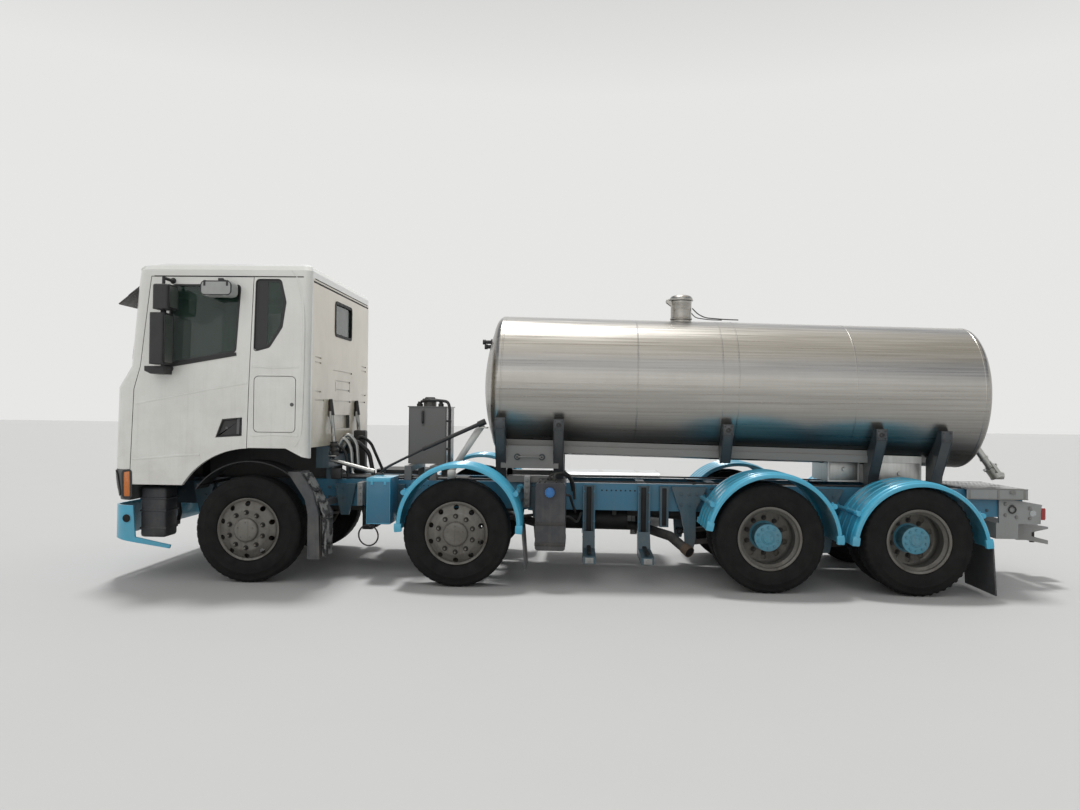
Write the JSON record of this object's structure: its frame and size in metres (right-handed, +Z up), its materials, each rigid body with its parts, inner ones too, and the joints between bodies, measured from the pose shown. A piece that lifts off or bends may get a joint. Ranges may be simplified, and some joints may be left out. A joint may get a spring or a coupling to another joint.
{
  "type": "tanker truck",
  "caption": "Rigid tanker truck with a flat fronted tilting cab, a round steel barrel on long bearers, half round fenders, twin drive axles and a rear coupling.",
  "frame": {"origin": "on the ground, midway between the front and rear tips, on the truck's middle plane", "axes": "+X forward, +Y to the truck's left, +Z up"},
  "size_m": [9.41, 2.96, 3.0549],
  "materials": {
    "cab_white": "gloss white paint, lightly soiled",
    "frame_blue": "dark turquoise blue paint, satin, worn",
    "fender_blue": "light blue gloss paint",
    "grey_paint": "grey paint, satin",
    "stainless": "brushed stainless sheet",
    "aluminium": "plain aluminium",
    "wheel_silver": "silver wheel paint, dusty",
    "cast_black": "black chassis paint",
    "black_plastic": "matte black plastic",
    "grey_plastic": "grained dark grey plastic",
    "smoked_plastic": "dark smoked plastic",
    "rubber": "black rubber",
    "tyre": "black tyre rubber, dusty",
    "glass": "lightly green tinted glass",
    "lamp_red": "red lamp lens"
  },
  "bodies": {
    "chassis": {"frame_rails": "frame_blue", "crossmembers": "frame_blue", "frame_brackets": "frame_blue", "axles": "cast_black", "springs": "cast_black", "air_bellows": "rubber", "powertrain": "cast_black", "bumper": "fender_blue", "fenders": "fender_blue", "mudguards": "grey_plastic", "tank": "stainless", "tank_supports": "frame_blue", "discharge": "stainless", "oil_tank": "grey_paint", "urea_tank": "grey_plastic", "fuel_tank": "aluminium", "exhaust": "cast_black", "rear_coupling": "grey_paint", "rear_lamps": "lamp_red"},
    "cab": {"cab_roof": "cab_white", "cab_front": "cab_white", "cab_sides": "cab_white", "cab_back": "cab_white", "cab_floor": "black_plastic", "cab_glass": "glass", "sun_visor": "smoked_plastic", "headlamps": "grey_plastic", "cab_interior": "black_plastic"},
    "door_left": {"door_left": "cab_white", "door_glass_left": "glass", "mirrors_left": "black_plastic"},
    "door_right": {"door_right": "cab_white", "door_glass_right": "glass", "mirrors_right": "black_plastic"},
    "front_hatch": {"front_hatch": "cab_white"},
    "locker_flap_left": {"locker_flap_left": "cab_white"},
    "locker_flap_right": {"locker_flap_right": "cab_white"},
    "manhole_lid": {"manhole_lid": "stainless"},
    "track_rod_1": {"track_rod_1": "cast_black"},
    "track_rod_2": {"track_rod_2": "cast_black"},
    "knuckle_1_left": {"knuckle_1_left": "cast_black"},
    "wheel_1_left": {"tyre_1_left": "tyre", "rim_1_left": "wheel_silver"},
    "knuckle_1_right": {"knuckle_1_right": "cast_black"},
    "wheel_1_right": {"tyre_1_right": "tyre", "rim_1_right": "wheel_silver"},
    "knuckle_2_left": {"knuckle_2_left": "cast_black"},
    "wheel_2_left": {"tyre_2_left": "tyre", "rim_2_left": "wheel_silver"},
    "knuckle_2_right": {"knuckle_2_right": "cast_black"},
    "wheel_2_right": {"tyre_2_right": "tyre", "rim_2_right": "wheel_silver"},
    "wheel_3_left": {"tyres_3_left": "tyre", "rims_3_left": "wheel_silver"},
    "wheel_3_right": {"tyres_3_right": "tyre", "rims_3_right": "wheel_silver"},
    "wheel_4_left": {"tyres_4_left": "tyre", "rims_4_left": "wheel_silver"},
    "wheel_4_right": {"tyres_4_right": "tyre", "rims_4_right": "wheel_silver"}
  },
  "joints": [
    {"name": "cab_tilt", "type": "hinge", "parent": "chassis", "child": "cab", "pos_m": [4.585, 0, 0.8], "axis": [0, 1, 0], "range_deg": [0, 60]},
    {"name": "door_left_hinge", "type": "hinge", "parent": "cab", "child": "door_left", "pos_m": [4.411, 1.22, 1.9], "axis": [0, 0, -1], "range_deg": [0, 75]},
    {"name": "door_right_hinge", "type": "hinge", "parent": "cab", "child": "door_right", "pos_m": [4.411, -1.22, 1.9], "axis": [0, 0, 1], "range_deg": [0, 75]},
    {"name": "front_hatch_hinge", "type": "hinge", "parent": "cab", "child": "front_hatch", "pos_m": [4.667, 0, 1.836], "axis": [0, -1, 0], "range_deg": [0, 60]},
    {"name": "locker_flap_left_hinge", "type": "hinge", "parent": "cab", "child": "locker_flap_left", "pos_m": [3.067, 1.217, 1.963], "axis": [1, 0, 0], "range_deg": [0, 80]},
    {"name": "locker_flap_right_hinge", "type": "hinge", "parent": "cab", "child": "locker_flap_right", "pos_m": [3.067, -1.217, 1.963], "axis": [-1, 0, 0], "range_deg": [0, 80]},
    {"name": "manhole_lid_hinge", "type": "hinge", "parent": "chassis", "child": "manhole_lid", "pos_m": [-0.765, 0, 2.87], "axis": [0, 1, 0], "range_deg": [0, 100]},
    {"name": "steer_1_left", "type": "hinge", "parent": "chassis", "child": "knuckle_1_left", "pos_m": [3.305, 0.96, 0.508], "axis": [0, 0, 1], "range_deg": [-38, 38]},
    {"name": "wheel_1_left_spin", "type": "hinge", "parent": "knuckle_1_left", "child": "wheel_1_left", "pos_m": [3.305, 1.085, 0.508], "axis": [0, 1, 0], "continuous": true},
    {"name": "steer_1_right", "type": "hinge", "parent": "chassis", "child": "knuckle_1_right", "pos_m": [3.305, -0.96, 0.508], "axis": [0, 0, 1], "range_deg": [-38, 38]},
    {"name": "wheel_1_right_spin", "type": "hinge", "parent": "knuckle_1_right", "child": "wheel_1_right", "pos_m": [3.305, -1.085, 0.508], "axis": [0, 1, 0], "continuous": true},
    {"name": "track_rod_1_pivot", "type": "hinge", "parent": "knuckle_1_left", "child": "track_rod_1", "pos_m": [3.135, 0.96, 0.359], "axis": [0, 0, 1], "range_deg": [-38, 38]},
    {"name": "steer_2_left", "type": "hinge", "parent": "chassis", "child": "knuckle_2_left", "pos_m": [1.315, 0.96, 0.508], "axis": [0, 0, 1], "range_deg": [-25, 25]},
    {"name": "wheel_2_left_spin", "type": "hinge", "parent": "knuckle_2_left", "child": "wheel_2_left", "pos_m": [1.315, 1.085, 0.508], "axis": [0, 1, 0], "continuous": true},
    {"name": "steer_2_right", "type": "hinge", "parent": "chassis", "child": "knuckle_2_right", "pos_m": [1.315, -0.96, 0.508], "axis": [0, 0, 1], "range_deg": [-25, 25]},
    {"name": "wheel_2_right_spin", "type": "hinge", "parent": "knuckle_2_right", "child": "wheel_2_right", "pos_m": [1.315, -1.085, 0.508], "axis": [0, 1, 0], "continuous": true},
    {"name": "track_rod_2_pivot", "type": "hinge", "parent": "knuckle_2_left", "child": "track_rod_2", "pos_m": [1.145, 0.96, 0.359], "axis": [0, 0, 1], "range_deg": [-25, 25]},
    {"name": "wheel_3_left_spin", "type": "hinge", "parent": "chassis", "child": "wheel_3_left", "pos_m": [-1.615, 0.9125, 0.508], "axis": [0, 1, 0], "continuous": true},
    {"name": "wheel_3_right_spin", "type": "hinge", "parent": "chassis", "child": "wheel_3_right", "pos_m": [-1.615, -0.9125, 0.508], "axis": [0, 1, 0], "continuous": true},
    {"name": "wheel_4_left_spin", "type": "hinge", "parent": "chassis", "child": "wheel_4_left", "pos_m": [-2.98, 0.9125, 0.508], "axis": [0, 1, 0], "continuous": true},
    {"name": "wheel_4_right_spin", "type": "hinge", "parent": "chassis", "child": "wheel_4_right", "pos_m": [-2.98, -0.9125, 0.508], "axis": [0, 1, 0], "continuous": true}
  ],
  "couplings": [
    {"joint": "steer_1_right", "follows": "steer_1_left", "ratio": 1},
    {"joint": "steer_2_left", "follows": "steer_1_left", "ratio": 0.65},
    {"joint": "steer_2_right", "follows": "steer_1_left", "ratio": 0.65},
    {"joint": "track_rod_1_pivot", "follows": "steer_1_left", "ratio": -1},
    {"joint": "track_rod_2_pivot", "follows": "steer_1_left", "ratio": -0.65}
  ]
}
